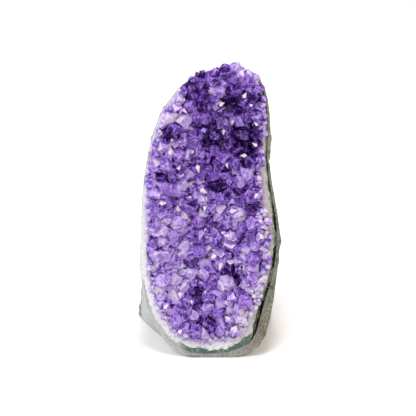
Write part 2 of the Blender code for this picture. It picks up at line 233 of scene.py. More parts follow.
def on_face(across, up, depth=0.0):
    """The point so far across and up the sawn face, and so deep behind it."""
    return Vector((
        across,
        FACE_FOOT_Y + up * math.sin(FACE_LEAN) + depth * math.cos(FACE_LEAN),
        up * math.cos(FACE_LEAN) - depth * math.sin(FACE_LEAN),
    ))  # fmt: skip


def off_face(point):
    """How far across and up the sawn face a point is, and how deep behind it."""
    back = point.y - FACE_FOOT_Y
    return (
        point.x,
        back * math.sin(FACE_LEAN) + point.z * math.cos(FACE_LEAN),
        back * math.cos(FACE_LEAN) - point.z * math.sin(FACE_LEAN),
    )


def step_between(value, low, high):
    """From 0 at low to 1 at high, smoothly."""
    share = min(1.0, max(0.0, (value - low) / (high - low)))
    return share * share * (3 - 2 * share)


def merged_copy(node):
    """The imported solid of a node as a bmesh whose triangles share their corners."""
    bm = bmesh.new()
    bm.from_mesh(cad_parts[node].data)
    bmesh.ops.remove_doubles(bm, verts=bm.verts, dist=0.02 * MM)
    return bm


def refine(bm, longest, chosen):
    """Halves the edges between the chosen corners until none is longer than that."""
    for _ in range(8):
        edges = [e for e in bm.edges if e.calc_length() > longest and all(chosen(v.co) for v in e.verts)]
        if not edges:
            return
        bmesh.ops.subdivide_edges(bm, edges=edges, cuts=1)
        bmesh.ops.triangulate(bm, faces=[f for f in bm.faces if len(f.verts) > 3])


def smooth_shaded(bm):
    """Shades the faces smooth but for the sharp edges."""
    for face in bm.faces:
        face.smooth = True
    for edge in bm.edges:
        edge.smooth = len(edge.link_faces) == 2 and edge.calc_face_angle() < SHARP_ANGLE


def piece(name, bm, material, node):
    """The finished bmesh as a piece of the stone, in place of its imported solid."""
    mesh = bpy.data.meshes.new(name)
    bm.to_mesh(mesh)
    bm.free()
    mesh.materials.append(material)
    obj = bpy.data.objects.new(name, mesh)
    bpy.context.scene.collection.objects.link(obj)
    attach(obj, "root")
    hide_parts(node)


# Weathered basalt looks matt and rough: grey-green with brown stains and fine grains, and pits painted dark
# as shade. Where it is sawn or ground it is a pale grey, with painted light making it paler on the left, and
# it is painted black as shade on the walls of the crack.
GREENISH = {"stops": ((0.2, "3B4135"), (0.42, "666C5C"), (0.58, "878C7D"), (0.8, "B5B6AB"))}
BROWNISH = {"stops": ((0.2, "3E3830"), (0.42, "6B6455"), (0.58, "8D8675"), (0.8, "BDB7A8"))}
FRESH = {"stops": ((0.3, "A3A6A5"), (0.5, "BFC2C3"), (0.7, "D4D6D9"))}
PIT_SHADE_COLOUR = "2E3129"
CRACK_SHADE_COLOUR = "12130F"
basalt, tree, shader = new_material("weathered_basalt", Roughness=0.65, Specular_IOR_Level=0.35)
place = add_node(tree, "ShaderNodeTexCoord").outputs["Object"]
ground = add_node(tree, "ShaderNodeAttribute", {"attribute_name": "ground"}).outputs["Fac"]
grimy = add_node(tree, "ShaderNodeAttribute", {"attribute_name": "grimy"}).outputs["Fac"]
clouds = add_node(tree, "ShaderNodeTexNoise", Vector=place, Scale=1 / (16 * MM), Detail=9.0, Roughness=0.72)
clouds = clouds.outputs["Fac"]
grains = add_node(tree, "ShaderNodeTexNoise", Vector=place, Scale=1 / (0.8 * MM), Detail=3.0, Roughness=0.6)
grains = grains.outputs["Fac"]
specks = add_node(tree, "ShaderNodeTexVoronoi", Vector=place, Scale=1 / (1.1 * MM)).outputs["Color"]
specks = add_node(tree, "ShaderNodeSeparateColor", Color=specks).outputs["Red"]
stains = add_node(tree, "ShaderNodeTexNoise", Vector=place, Scale=1 / (34 * MM), Detail=4.0, Roughness=0.6)
stains = add_node(
    tree, "ShaderNodeMapRange", Value=stains.outputs["Fac"], From_Min=0.48, From_Max=0.62
).outputs[0]
shade = -0.38
for pattern, weight in ((grains, 0.8), (specks, 0.16), (clouds, 0.8)):
    shade = add_node(tree, "ShaderNodeMath", TIMES_PLUS, i0=pattern, i1=weight, i2=shade).outputs[0]
green = add_node(tree, "ShaderNodeValToRGB", GREENISH, Fac=shade).outputs["Color"]
brown = add_node(tree, "ShaderNodeValToRGB", BROWNISH, Fac=shade).outputs["Color"]
fresh = add_node(tree, "ShaderNodeValToRGB", FRESH, Fac=shade).outputs["Color"]
skin = add_node(tree, "ShaderNodeMix", COLOURS, i0=stains, i6=green, i7=brown).outputs[2]
# Painted shade: the pits, which the bump sinks in, are painted darker, except where they are filled or
# ground.
pits = add_node(tree, "ShaderNodeTexVoronoi", Vector=place, Scale=1 / (3.6 * MM)).outputs["Distance"]
even = add_node(tree, "ShaderNodeMapRange", SMOOTH_STEP, Value=pits, From_Min=0.12, From_Max=0.42).outputs[0]
filled = add_node(tree, "ShaderNodeMath", TIMES_PLUS, i0=clouds, i1=5.0, i2=-2.0).outputs[0]
even = add_node(tree, "ShaderNodeMath", LARGER, i0=even, i1=filled).outputs[0]
even = add_node(tree, "ShaderNodeMath", LARGER_TO_ONE, i0=even, i1=ground).outputs[0]
light = add_node(tree, "ShaderNodeMath", TIMES_PLUS, i0=even, i1=0.55, i2=0.45).outputs[0]
skin = add_node(tree, "ShaderNodeMix", COLOURS, i0=light, i6=linear(PIT_SHADE_COLOUR), i7=skin).outputs[2]
# The pale grey where the rock is cut is partly its own colour and partly painted light from the left.
skin = add_node(tree, "ShaderNodeMix", COLOURS, i0=ground, i6=skin, i7=fresh).outputs[2]
# Painted shade: the rock is painted near black on the walls of the crack, deeper than the sawn face.
skin = add_node(tree, "ShaderNodeMix", COLOURS, i0=grimy, i6=skin, i7=linear(CRACK_SHADE_COLOUR)).outputs[2]
tree.links.new(skin, shader.inputs["Base Color"])
relief = add_node(tree, "ShaderNodeBump", Height=grains, Strength=0.45, Distance=0.25 * MM).outputs[0]
relief = add_node(tree, "ShaderNodeBump", Height=even, Strength=0.8, Distance=0.8 * MM, Normal=relief)
tree.links.new(relief.outputs[0], shader.inputs["Normal"])

rock = merged_copy("basalt_host")
wall_tree = BVHTree.FromBMesh(merged_copy("celadonite_seam"))


def behind_seam(co):
    """Whether a corner lies against the seam, on the wall of the hollow."""
    return wall_tree.find_nearest(co, 1.0 * MM)[0] is not None


def on_skin(co):
    """Whether a corner is free to be smoothed: off the sawn faces, the wall of the hollow and the notch."""
    if off_face(co)[2] <= CUT_MARGIN or co.z <= CUT_MARGIN or (co - notch).length <= NOTCH_REACH:
        return False
    return not behind_seam(co)


def faces_crack(co):
    """Whether a corner is on the lip of the hollow where the crack stands open."""
    return co.x > CRACK_LEFT_END and -0.01 * MM < off_face(co)[2] < CRACK_REACH and behind_seam(co)


refine(rock, ROCK_LONGEST_EDGE, lambda co: not behind_seam(co))
refine(rock, CRACK_LONGEST_EDGE, faces_crack)
notch = on_face(*NOTCH_CORNER)
soft = [vert for vert in rock.verts if on_skin(vert.co)]
for _ in range(SMOOTHING_ROUNDS):
    bmesh.ops.smooth_vert(rock, verts=soft, factor=0.5, use_axis_x=True, use_axis_y=True, use_axis_z=True)
rock.normal_update()
ground_and_lit_layer = rock.verts.layers.float.new("ground")
crack_shade_layer = rock.verts.layers.float.new("grimy")
for vert in rock.verts:
    across, up, depth = off_face(vert.co)
    oval = math.hypot(
        (vert.co.z - GROUND_MIDDLE[0]) / GROUND_HALF_SIZE[0], (depth - GROUND_MIDDLE[1]) / GROUND_HALF_SIZE[1]
    )
    oval += 0.12 * noise.noise(vert.co / GROUND_WAVES[0]) + 0.08 * noise.noise(vert.co / GROUND_WAVES[1])
    flat = step_between(-across, *GROUND_LEFT) * step_between(1 - oval, *GROUND_EDGE)
    low = 1 - step_between(up, *RIM_LOW)
    rim = (1 - step_between(depth, 0, RIM_DEPTH)) * max(step_between(-across, *RIM_LEFT), 0.35 * low)
    pale_edge = (1 - step_between(depth, *PALE_EDGE_DEPTH)) * step_between(-across, *PALE_EDGE_LEFT)
    pale_edge *= step_between(up, *PALE_EDGE_UP)
    # Painted light: the pale grey of the ground flat, the rim and the edge band is partly painted light from
    # the left.
    vert[ground_and_lit_layer] = max(PALE_SHARE * flat, rim, PALE_SHARE * pale_edge)
    if behind_seam(vert.co):
        # Painted shade: corners on the crack wall darken from the sawn face inwards.
        vert[crack_shade_layer] = step_between(depth, ON_FACE, CRACK_SHADE_DEPTH)
        continue
    fade = step_between(depth, CUT_MARGIN, FADE if across < THIN_WALL_FROM else THIN_WALL_FADE)
    fade = fade * step_between(vert.co.z, CUT_MARGIN, FADE) * (1 - PALE_SHARE * flat)
    height = sum(noise.noise(vert.co / size) * tall for size, tall in LUMPS)
    height -= PIT_DEPTH * (1 - step_between(noise.voronoi(vert.co / PIT_SPACING)[0][0], *PIT_EDGE))
    right = step_between(vert.normal.x, *NOTCH_SIDE) * (1 - step_between(depth, *NOTCH_BACK))
    height += LIP_HEIGHT * right * step_between(up, *LIP_FOOT) * (1 - step_between(up, *LIP_TOP))
    height -= NOTCH_DEPTH * right * step_between(9 * MM - abs(up - NOTCH_UP), 0, 8 * MM)
    vert.co += vert.normal * height * fade
smooth_shaded(rock)
piece("host_rock", rock, basalt, "basalt_host")


# The celadonite seam: a thin skin of dark green clay mineral that lined the bubble before the quartz grew. It
# has shrunk away from the rock on the right, where a crack stands open between the two, its walls painted
# black as shade.

FACE_MIDDLE_UP = 101 * MM
HOLLOW_DEPTH = 41 * MM
BOWL_POWER = 2.6
SEAM_LONGEST_EDGE = 2.0 * MM
RIM_WAVES = (9 * MM, 3 * MM)
WANDER = 2.0 * MM
CRACK_WIDTH = 1.4 * MM
CRACK_RIGHT = (15 * MM, 35 * MM)
CRACK_TOP = 150 * MM
CRACK_GAPS = 14 * MM
CRACK_WIDEST_UP = 38 * MM

# Sawn celadonite has a dull polish and looks cloudy: bluish green at the foot, olive above, and a chalky pale
# grey on the left.
CELADONITE_LOW = {"stops": ((0.35, "3F5A52"), (0.5, "587068"), (0.65, "86988F"))}
CELADONITE_HIGH = {"stops": ((0.35, "39422F"), (0.5, "56604C"), (0.65, "8A9180"))}
CHALKY = {"stops": ((0.35, "A3AAA6"), (0.5, "BCC1BF"), (0.65, "CDD0D0"))}
celadonite, tree, shader = new_material("sawn_celadonite", Roughness=0.5, Specular_IOR_Level=0.4)
place = add_node(tree, "ShaderNodeTexCoord").outputs["Object"]
grimy = add_node(tree, "ShaderNodeAttribute", {"attribute_name": "grimy"}).outputs["Fac"]
parts = add_node(tree, "ShaderNodeSeparateXYZ", Vector=place)
clouds = add_node(tree, "ShaderNodeTexNoise", Vector=place, Scale=1 / (3 * MM), Detail=6.0, Roughness=0.65)
clouds = clouds.outputs["Fac"]
low = add_node(tree, "ShaderNodeValToRGB", CELADONITE_LOW, Fac=clouds).outputs["Color"]
high = add_node(tree, "ShaderNodeValToRGB", CELADONITE_HIGH, Fac=clouds).outputs["Color"]
chalky = add_node(tree, "ShaderNodeValToRGB", CHALKY, Fac=clouds).outputs["Color"]
lift = add_node(
    tree, "ShaderNodeMapRange", Value=parts.outputs["Z"], From_Min=8 * MM, From_Max=30 * MM
).outputs[0]
ragged = add_node(tree, "ShaderNodeMath", TIMES_PLUS, i0=clouds, i1=20 * MM, i2=parts.outputs["X"])
ragged = ragged.outputs[0]
pale_left = add_node(tree, "ShaderNodeMapRange", Value=ragged, From_Min=-6 * MM, From_Max=-12 * MM).outputs[0]
green = add_node(tree, "ShaderNodeMix", COLOURS, i0=lift, i6=low, i7=high).outputs[2]
green = add_node(tree, "ShaderNodeMix", COLOURS, i0=pale_left, i6=green, i7=chalky).outputs[2]
# Painted shade: the seam is painted near black on the walls of the crack, as the rock is.
green = add_node(tree, "ShaderNodeMix", COLOURS, i0=grimy, i6=green, i7=linear(CRACK_SHADE_COLOUR)).outputs[2]
tree.links.new(green, shader.inputs["Base Color"])
relief = add_node(tree, "ShaderNodeBump", Height=clouds, Strength=0.4, Distance=0.3 * MM).outputs[0]
tree.links.new(relief, shader.inputs["Normal"])

seam = merged_copy("celadonite_seam")


def at_front(co):
    """Whether a corner lies on the sawn face."""
    return off_face(co)[2] < ON_FACE


def wander(across, up):
    """How far the edge between the seam and the lining strays outwards at a place on the sawn face."""
    spot = Vector((across, up, 30 * MM))
    low = 1 - step_between(up, 20 * MM, 40 * MM)
    waves = noise.noise(spot / RIM_WAVES[0]) + 0.5 * noise.noise(spot / RIM_WAVES[1])
    return (waves - 0.25 * low) * WANDER * (0.5 + low)


def face_polar(across, up):
    """The direction and the distance of a place from the middle of the sawn face."""
    return math.atan2(up - FACE_MIDDLE_UP, across), math.hypot(across, up - FACE_MIDDLE_UP)


def by_crack(co):
    """Whether a corner is near the stretch of the rim where the crack stands open."""
    across, up, depth = off_face(co)
    return across > CRACK_LEFT_END and up < CRACK_TOP + 15 * MM and depth < CRACK_REACH


refine(seam, SEAM_LONGEST_EDGE, at_front)
rim = sorted(face_polar(*off_face(v.co)[:2]) for v in seam.verts if at_front(v.co))
rim_angles, rim_reaches = np.array(rim).T
rim_middle = np.convolve(np.pad(rim_reaches, 8, mode="wrap"), np.ones(17) / 17, mode="valid")
refine(seam, CRACK_LONGEST_EDGE, by_crack)
crack_shade_layer = seam.verts.layers.float.new("grimy")
for vert in seam.verts:
    across, up, depth = off_face(vert.co)
    # Painted shade: the seam darkens into the crack, behind the sawn face.
    vert[crack_shade_layer] = step_between(depth, ON_FACE, CRACK_SHADE_DEPTH)
    if depth > CRACK_REACH:
        continue
    angle, reach = face_polar(across, up)
    reach /= (1 - max(0.0, depth) / HOLLOW_DEPTH) ** (1 / BOWL_POWER)
    outwards = (vert.co - on_face(0, FACE_MIDDLE_UP, depth)).normalized()
    if reach > np.interp(angle, rim_angles, rim_middle, period=math.tau):
        right = step_between(across, *CRACK_RIGHT) * step_between(CRACK_TOP - up, 0, 12 * MM)
        open_share = step_between(noise.noise(Vector((0, up, 0)) / CRACK_GAPS), -0.3, 0.15)
        wide = 1 + 0.8 * step_between(22 * MM - abs(up - CRACK_WIDEST_UP), 0, 12 * MM)
        vert.co -= outwards * CRACK_WIDTH * right * open_share * wide * (1 - 0.6 * depth / CRACK_REACH)
    elif depth < ON_FACE:
        vert.co += outwards * wander(across, up)
smooth_shaded(seam)
piece("green_seam", seam, celadonite, "celadonite_seam")


# The quartz lining: milky, coarsely crystalline quartz that grew inwards on the seam. On the left its white
# rind spreads over the seam's sawn edge.

LINING_LONGEST_EDGE = 1.6 * MM
RIND_RELIEF = 0.35 * MM
RIND_LUMPS = 2.2 * MM
OVER_WIDTH = 2.3 * MM
OVER_HEIGHT = 0.15 * MM
OVER_LEFT = (5 * MM, 28 * MM)
OVER_UP = (48 * MM, 66 * MM)
OVER_LEFT_BELOW = (14 * MM, 24 * MM)
OVER_BELOW = 0.4

# Milky quartz is translucent and glassy, in grains of many whites. Its white rind takes on the violet of the
# crystals towards them, and the right side is stained a greyish pink.
LEFT_LAYERS = {
    "stops": ((0.0, "A58CCB"), (0.25, "C9BCE0"), (0.5, "E6E3EE"), (0.85, "F2F3F3"), (1.0, "C9CFC6"))
}
RIGHT_LAYERS = {
    "stops": ((0.0, "8F77A8"), (0.3, "B3A2B4"), (0.6, "C4BCBB"), (0.85, "B4B5A8"), (1.0, "8A9080"))
}
milky, tree, shader = new_material(
    "milky_quartz", Roughness=0.3, IOR=1.544, Subsurface_Weight=0.15, Subsurface_Scale=2 * MM
)
place = add_node(tree, "ShaderNodeTexCoord").outputs["Object"]
parts = add_node(tree, "ShaderNodeSeparateXYZ", Vector=place)
rind = add_node(tree, "ShaderNodeAttribute", {"attribute_name": "rind"}).outputs["Fac"]
cells = add_node(tree, "ShaderNodeTexVoronoi", Vector=place, Scale=1 / (1.7 * MM)).outputs["Color"]
cells = add_node(tree, "ShaderNodeSeparateColor", Color=cells).outputs["Red"]
clouds = add_node(tree, "ShaderNodeTexNoise", Vector=place, Scale=1 / (3 * MM), Detail=5.0, Roughness=0.65)
layer = -0.75
for pattern, weight in ((clouds.outputs["Fac"], 1.1), (rind, 1.0), (cells, 0.4)):
    layer = add_node(tree, "ShaderNodeMath", TIMES_PLUS, i0=pattern, i1=weight, i2=layer).outputs[0]
white = add_node(tree, "ShaderNodeValToRGB", LEFT_LAYERS, Fac=layer).outputs["Color"]
stained = add_node(tree, "ShaderNodeValToRGB", RIGHT_LAYERS, Fac=layer).outputs["Color"]
side = add_node(
    tree, "ShaderNodeMapRange", Value=parts.outputs["X"], From_Min=14 * MM, From_Max=34 * MM
).outputs[0]
white = add_node(tree, "ShaderNodeMix", COLOURS, i0=side, i6=white, i7=stained).outputs[2]
tree.links.new(white, shader.inputs["Base Color"])
relief = add_node(tree, "ShaderNodeBump", Height=cells, Strength=0.5, Distance=0.25 * MM).outputs[0]
tree.links.new(relief, shader.inputs["Normal"])

lining = merged_copy("quartz_lining")
ring = sorted(face_polar(*off_face(v.co)[:2]) for v in lining.verts if at_front(v.co))
angles, reaches = np.array(ring).T
outer = reaches > np.convolve(np.pad(reaches, 2, mode="wrap"), np.ones(5) / 5, mode="valid")
refine(lining, LINING_LONGEST_EDGE, at_front)
rind_layer = lining.verts.layers.float.new("rind")
for vert in lining.verts:
    across, up, depth = off_face(vert.co)
    if depth >= ON_FACE:
        continue
    angle, reach = face_polar(across, up)
    inner_here = np.interp(angle, angles[~outer], reaches[~outer], period=math.tau)
    outer_here = np.interp(angle, angles[outer], reaches[outer], period=math.tau)
    share = (reach - inner_here) / max(0.5 * MM, outer_here - inner_here)
    vert[rind_layer] = min(1.0, max(0.0, share))
    if 0.05 < share < 0.95:
        vert.co -= FACE_NORMAL * noise.noise(vert.co / RIND_LUMPS) * RIND_RELIEF
    over = max(
        step_between(-across, *OVER_LEFT) * step_between(up, *OVER_UP),
        OVER_BELOW * step_between(-across, *OVER_LEFT_BELOW),
    )
    outwards = (vert.co - on_face(0, FACE_MIDDLE_UP)).normalized()
    vert.co += (outwards * OVER_WIDTH * step_between(share, 0.3, 0.95) + FACE_NORMAL * OVER_HEIGHT) * over
    vert.co += outwards * wander(across, up) * step_between(share, 0.5, 0.95) * (1 - over)
smooth_shaded(lining)
piece("white_lining", lining, milky, "quartz_lining")


# The amethyst points: the large crystals that stand out of the bed, grown into the hollow with their feet in
# the quartz. Each is a six-sided prism with a six-sided point, a little worn along its edges, and the
# bevelled edges are painted paler, partly as wear and partly as a painted highlight.

LARGE_BEVEL = 0.16 * MM
LARGE_CORE_INSET = 1.1 * MM
LARGE_VARIETY = 0.5
LARGE_PALER = 0.06
LARGE_DARKEST = 0.32

# A few small faces are painted near white as glints, as if they mirrored a soft box. This facet value marks
# them.
GLINT_FACET = 2.3
BRIGHT_SHARE = 0.03
BRIGHT_AREA = (1.5 * MM * MM, 8 * MM * MM)
FLASH_AREA = (3 * MM * MM, 20 * MM * MM)

# How many millimetres the crystals grow out over the lining's inner edge, by direction from the middle of the
# sawn face, in degrees from the right.
OVERHANGS = (
    (-112, 4.1), (-92, -0.8), (-75, -0.7), (-57, 2.8), (-28, 1.4), (0, 0.8), (41, -1.4), (57, 0.2),
    (66, 5.6), (90, 3.9), (127, 2.7), (226, 2.9),
)  # fmt: skip

# Where the crystals are painted darkest and palest, as places and radii on the sawn face in mm.
DARK_SPOTS = (
    (5, 158, 9), (27, 164, 11), (15, 188, 8), (-8, 193, 7), (32, 119, 8), (-31, 137, 6), (8, 127, 6),
    (-9, 43, 8), (18, 61, 6), (-1, 26, 7), (30, 148, 7), (-2, 172, 6), (-25, 167, 5),
)  # fmt: skip
PALE_SPOTS = (
    (-9, 150, 6), (-20, 155, 8), (-33, 51, 7), (14, 47, 7), (20, 138, 6), (14, 107, 8), (-3, 72, 7),
    (32, 55, 8), (27, 77, 7), (22, 27, 8), (-35, 100, 8), (-18, 100, 7), (-8, 180, 6), (24, 192, 4),
)  # fmt: skip
SHADED_SIDE = (18 * MM, 160 * MM)
SHADED_SIDE_REACH = (12 * MM, 62 * MM)
PATCHES = (15 * MM, 7 * MM)

# Amethyst is glassy, and smooth as a mirror on its faces. Its colour goes from deep violet to almost white,
# by crystal, face and core, broken up by milky veils and by angular patches painted as the far faces that
# show through. The feet and the gaps between the points are painted dark as shade, and what the faces mirror
# is tinted violet too.
ZONES = {
    "stops": (
        (0.0, "0E0328"), (0.17, "371662"), (0.4, "8156BE"),
        (0.62, "B490E4"), (0.82, "CDB5EF"), (1.0, "E6DFEB"),
    )
}  # fmt: skip
SHADOW_COLOUR = "120530"
REFLECTION_TINT = "C0A8FF"
GLINTS = {"stops": ((0.4, "EBD3CF"), (0.55, "F9F7F6"))}
amethyst, tree, shader = new_material(
    "amethyst", Roughness=0.05, IOR=1.544, Specular_IOR_Level=0.5, Specular_Tint=linear(REFLECTION_TINT),
    Transmission_Weight=0.1,
)  # fmt: skip
place = add_node(tree, "ShaderNodeTexCoord").outputs["Object"]
growth = add_node(tree, "ShaderNodeAttribute", {"attribute_name": "growth"}).outputs["Fac"]
tint = add_node(tree, "ShaderNodeAttribute", {"attribute_name": "tint"}).outputs["Fac"]
facet = add_node(tree, "ShaderNodeAttribute", {"attribute_name": "facet"}).outputs["Fac"]
core = add_node(tree, "ShaderNodeAttribute", {"attribute_name": "core"}).outputs["Fac"]
veil = add_node(tree, "ShaderNodeTexNoise", Vector=place, Scale=1 / (2.0 * MM), Detail=5.0, Roughness=0.7)
veil = veil.outputs["Fac"]
inner = add_node(tree, "ShaderNodeTexVoronoi", Vector=place, Scale=1 / (2.3 * MM)).outputs["Color"]
inner = add_node(tree, "ShaderNodeSeparateColor", Color=inner).outputs["Red"]
fine = add_node(tree, "ShaderNodeTexVoronoi", Vector=place, Scale=1 / (0.9 * MM)).outputs["Color"]
fine = add_node(tree, "ShaderNodeSeparateColor", Color=fine).outputs["Red"]
pale = -0.576
for pattern, weight in (
    (facet, 0.368), (core, -0.208), (tint, 0.8), (inner, 0.24), (fine, 0.272), (veil, 0.56)
):  # fmt: skip
    pale = add_node(tree, "ShaderNodeMath", TIMES_PLUS, i0=pattern, i1=weight, i2=pale).outputs[0]
zones = add_node(tree, "ShaderNodeValToRGB", ZONES, Fac=pale).outputs["Color"]
# Painted shade: the feet of the points and the gaps that ambient occlusion finds are darkened towards the
# shadow colour.
grown = add_node(tree, "ShaderNodeMapRange", SMOOTH_STEP, Value=growth, From_Min=0.0, From_Max=0.33)
open_air = add_node(tree, "ShaderNodeAmbientOcclusion", {"samples": 8}, Distance=7 * MM).outputs["AO"]
lit = add_node(tree, "ShaderNodeMapRange", SMOOTH_STEP, Value=open_air, From_Min=0.0, From_Max=0.25)
lit = add_node(
    tree, "ShaderNodeMath", {"operation": "MULTIPLY"}, i0=grown.outputs[0], i1=lit.outputs[0]
).outputs[0]
lit = add_node(tree, "ShaderNodeMath", TIMES_PLUS, i0=lit, i1=0.85, i2=0.15).outputs[0]
violet = add_node(tree, "ShaderNodeMix", COLOURS, i0=lit, i6=linear(SHADOW_COLOUR), i7=zones).outputs[2]
# Painted highlight: faces marked as glints are painted near white.
painted_glint = add_node(tree, "ShaderNodeMapRange", Value=facet, From_Min=1.5, From_Max=2.0).outputs[0]
glint = add_node(tree, "ShaderNodeValToRGB", GLINTS, Fac=veil).outputs["Color"]
violet = add_node(tree, "ShaderNodeMix", COLOURS, i0=painted_glint, i6=violet, i7=glint).outputs[2]
tree.links.new(violet, shader.inputs["Base Color"])
relief = add_node(tree, "ShaderNodeBump", Height=veil, Strength=0.3, Distance=0.12 * MM).outputs[0]
tree.links.new(relief, shader.inputs["Normal"])

over_directions, overhangs = np.array(OVERHANGS).T
edge_directions = np.radians(np.arange(0, 360, 5))
edge_reaches = np.interp(edge_directions, angles[~outer], reaches[~outer], period=math.tau)
edge_reaches += np.interp(edge_directions, np.radians(over_directions), overhangs * MM, period=math.tau)
edge_points = edge_reaches * (np.cos(edge_directions), np.sin(edge_directions))
edge_points = edge_points.T + (0, FACE_MIDDLE_UP)
edge_ways = np.roll(edge_points, -1, axis=0) - edge_points


def edge_distance(across, up):
    """How far inside the edge of the crystals a place lies, negative outside it."""
    offsets = np.array((across, up)) - edge_points
    shares = np.clip((offsets * edge_ways).sum(axis=1) / (edge_ways**2).sum(axis=1), 0, 1)
    nearest = np.linalg.norm(offsets - edge_ways * shares[:, None], axis=1).min()
    ends = np.roll(edge_points, -1, axis=0)
    crosses = (edge_points[:, 1] > up) != (ends[:, 1] > up)
    crossings = (up - edge_points[:, 1]) / np.where(crosses, edge_ways[:, 1], 1)
    meets = edge_points[:, 0] + crossings * edge_ways[:, 0]
    return nearest if np.count_nonzero(crosses & (across < meets)) % 2 else -nearest


def spots_here(spots, across, up):
    """How much a place on the sawn face lies in one of the spots, from 0 to 1."""
    return max(
        1 - step_between(math.hypot(across - x * MM, up - y * MM), 0.6 * size * MM, 1.5 * size * MM)
        for x, y, size in spots
    )


def local_tint(across, up, rng):
    """How pale a crystal is: darkest high on the right, as painted shade there, paler on the left, as painted
    light from that side, and paler near the white rim.
    """
    # Painted shade high on the right and painted light on the left.
    dark = 1 - step_between(math.hypot(across - SHADED_SIDE[0], up - SHADED_SIDE[1]), *SHADED_SIDE_REACH)
    left = step_between(-across, 5 * MM, 35 * MM)
    low = step_between(115 * MM - up, 0, 40 * MM)
    rim = 1 - step_between(edge_distance(across, up), 2 * MM, 7 * MM)
    rim *= 0.4 + 1.2 * step_between(70 * MM - up, 0, 40 * MM) + 1.0 * step_between(across, 20 * MM, 32 * MM)
    rim -= 0.6 * step_between(up, 183 * MM, 198 * MM) * step_between(across, -18 * MM, -8 * MM)
    patch = noise.noise(Vector((across, up, 0)) / PATCHES[0])
    patch += 0.5 * noise.noise(Vector((across, up, 9)) / PATCHES[1])
    patch *= 1 - 0.6 * rim
    pale = 0.5 - 0.17 * dark + 0.12 * left + 0.03 * low + 0.26 * rim + 0.27 * patch
    pale += 0.2 * spots_here(PALE_SPOTS, across, up) - 0.5 * spots_here(DARK_SPOTS, across, up)
    return max(-0.1, pale + 0.54 * (rng.random() - 0.5))


def mark(bm, growth_of, tint, rng, variety=1.0, edge_width=0.0, core_inset=0.0, flash=None):
    """Bevels the crystal's edges and stores what its colour depends on: each corner's height up the crystal,
    from 0 at the root to 1 at the tip, the crystal's own tint, how pale each face is, and its darker core.
    The face that looks most along the flash direction, if one is given, is painted as a glint."""
    facet_layer = bm.faces.layers.float.new("facet")
    for face in bm.faces:
        # Painted highlight: a few faces at random are marked to be painted as glints.
        bright = rng.random() < BRIGHT_SHARE and BRIGHT_AREA[0] < face.calc_area() < BRIGHT_AREA[1]
        face[facet_layer] = GLINT_FACET if bright else 0.5 + variety * (rng.random() - 0.5)
    if flash is not None:
        fits = [face for face in bm.faces if FLASH_AREA[0] < face.calc_area() < FLASH_AREA[1]] or bm.faces[:]
        max(fits, key=lambda face: face.normal.dot(flash))[facet_layer] = GLINT_FACET
    whole = bm.faces[:]
    core_layer = bm.verts.layers.float.new("core")
    if edge_width:
        bevel = bmesh.ops.bevel(
            bm, geom=bm.edges[:], offset=edge_width, segments=1, affect="EDGES", profile=0.5, material=-1
        )
        strips = set(bevel["faces"])
        # Painted highlight: the bevel strips are painted paler than the faces, partly as wear.
        paleness = rng.uniform(0.5, 0.55 + 0.6 * variety)
        for face in strips:
            face[facet_layer] = paleness
        whole = [face for face in bm.faces if face not in strips]
    if core_inset:
        bmesh.ops.inset_individual(bm, faces=whole, thickness=core_inset, use_even_offset=True)
        cores = [vert for face in whole for vert in face.verts]
    else:
        cores = bmesh.ops.poke(bm, faces=whole)["verts"]
    core_depth = rng.uniform(0.3, 1.1) * (0.5 if core_inset else 1.0)
    for vert in cores:
        vert[core_layer] = core_depth
    growth_layer = bm.verts.layers.float.new("growth")
    tint_layer = bm.verts.layers.float.new("tint")
    for vert in bm.verts:
        vert[growth_layer] = growth_of(vert.co)
        vert[tint_layer] = tint


large = []
large_nodes = sorted(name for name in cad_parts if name.startswith("crystal_") and name != "crystal_bed")
for node in large_nodes:
    bm = merged_copy(node)
    bmesh.ops.dissolve_limit(bm, angle_limit=math.radians(1), verts=bm.verts, edges=bm.edges)
    root = min((f for f in bm.faces if len(f.verts) == 6), key=lambda f: f.normal.dot(FACE_NORMAL))
    foot, axis = root.calc_center_median(), -root.normal
    large.append((foot.copy(), axis.copy(), (root.verts[0].co - foot).length))
    tall = max((v.co - foot).dot(axis) for v in bm.verts)
    across, up, _ = off_face(foot + axis * tall)
    rng = random.Random(node)
    tint = max(LARGE_DARKEST, local_tint(across, up, rng)) + LARGE_PALER
    mark(
        bm, lambda co: (co - foot).dot(axis) / tall, tint, rng, LARGE_VARIETY, LARGE_BEVEL, LARGE_CORE_INSET
    )
    piece("point_" + node[-2:], bm, amethyst, node)


# The crystal bed: the druse that crowds between the large points and out over the lining, smaller points of
# the same quartz in every size. A few have a large, flat end face turned to the front, painted white as a
# glint.

# The end faces of quartz stand at this angle to the axis.
END_FACE_ANGLE = math.radians(51.8)

# The small points of each size: their radius in mm, how many are tried, and how closely they may stand. The
# finest straggle out over the lining.
POINT_SIZES = ((6.2, 1800, 0.56), (4.8, 3500, 0.48), (3.3, 4500, 0.45), (2.0, 4500, 0.45), (1.4, 4000, 0.5))
FINEST_MM = 2.0
DRUSE_SEED = 11
SMALL_BEVEL = 0.12 * MM
BEVELLED_FROM = 3 * MM
SMALL_ROOT = 2.0 * MM
MOST_LEAN = math.radians(34)
PRISM_HEIGHTS = (0.2, 3.2)
RAY_START = 60 * MM
DEEPEST_BED = 40 * MM
CLEAR_OF_LARGE = 0.75

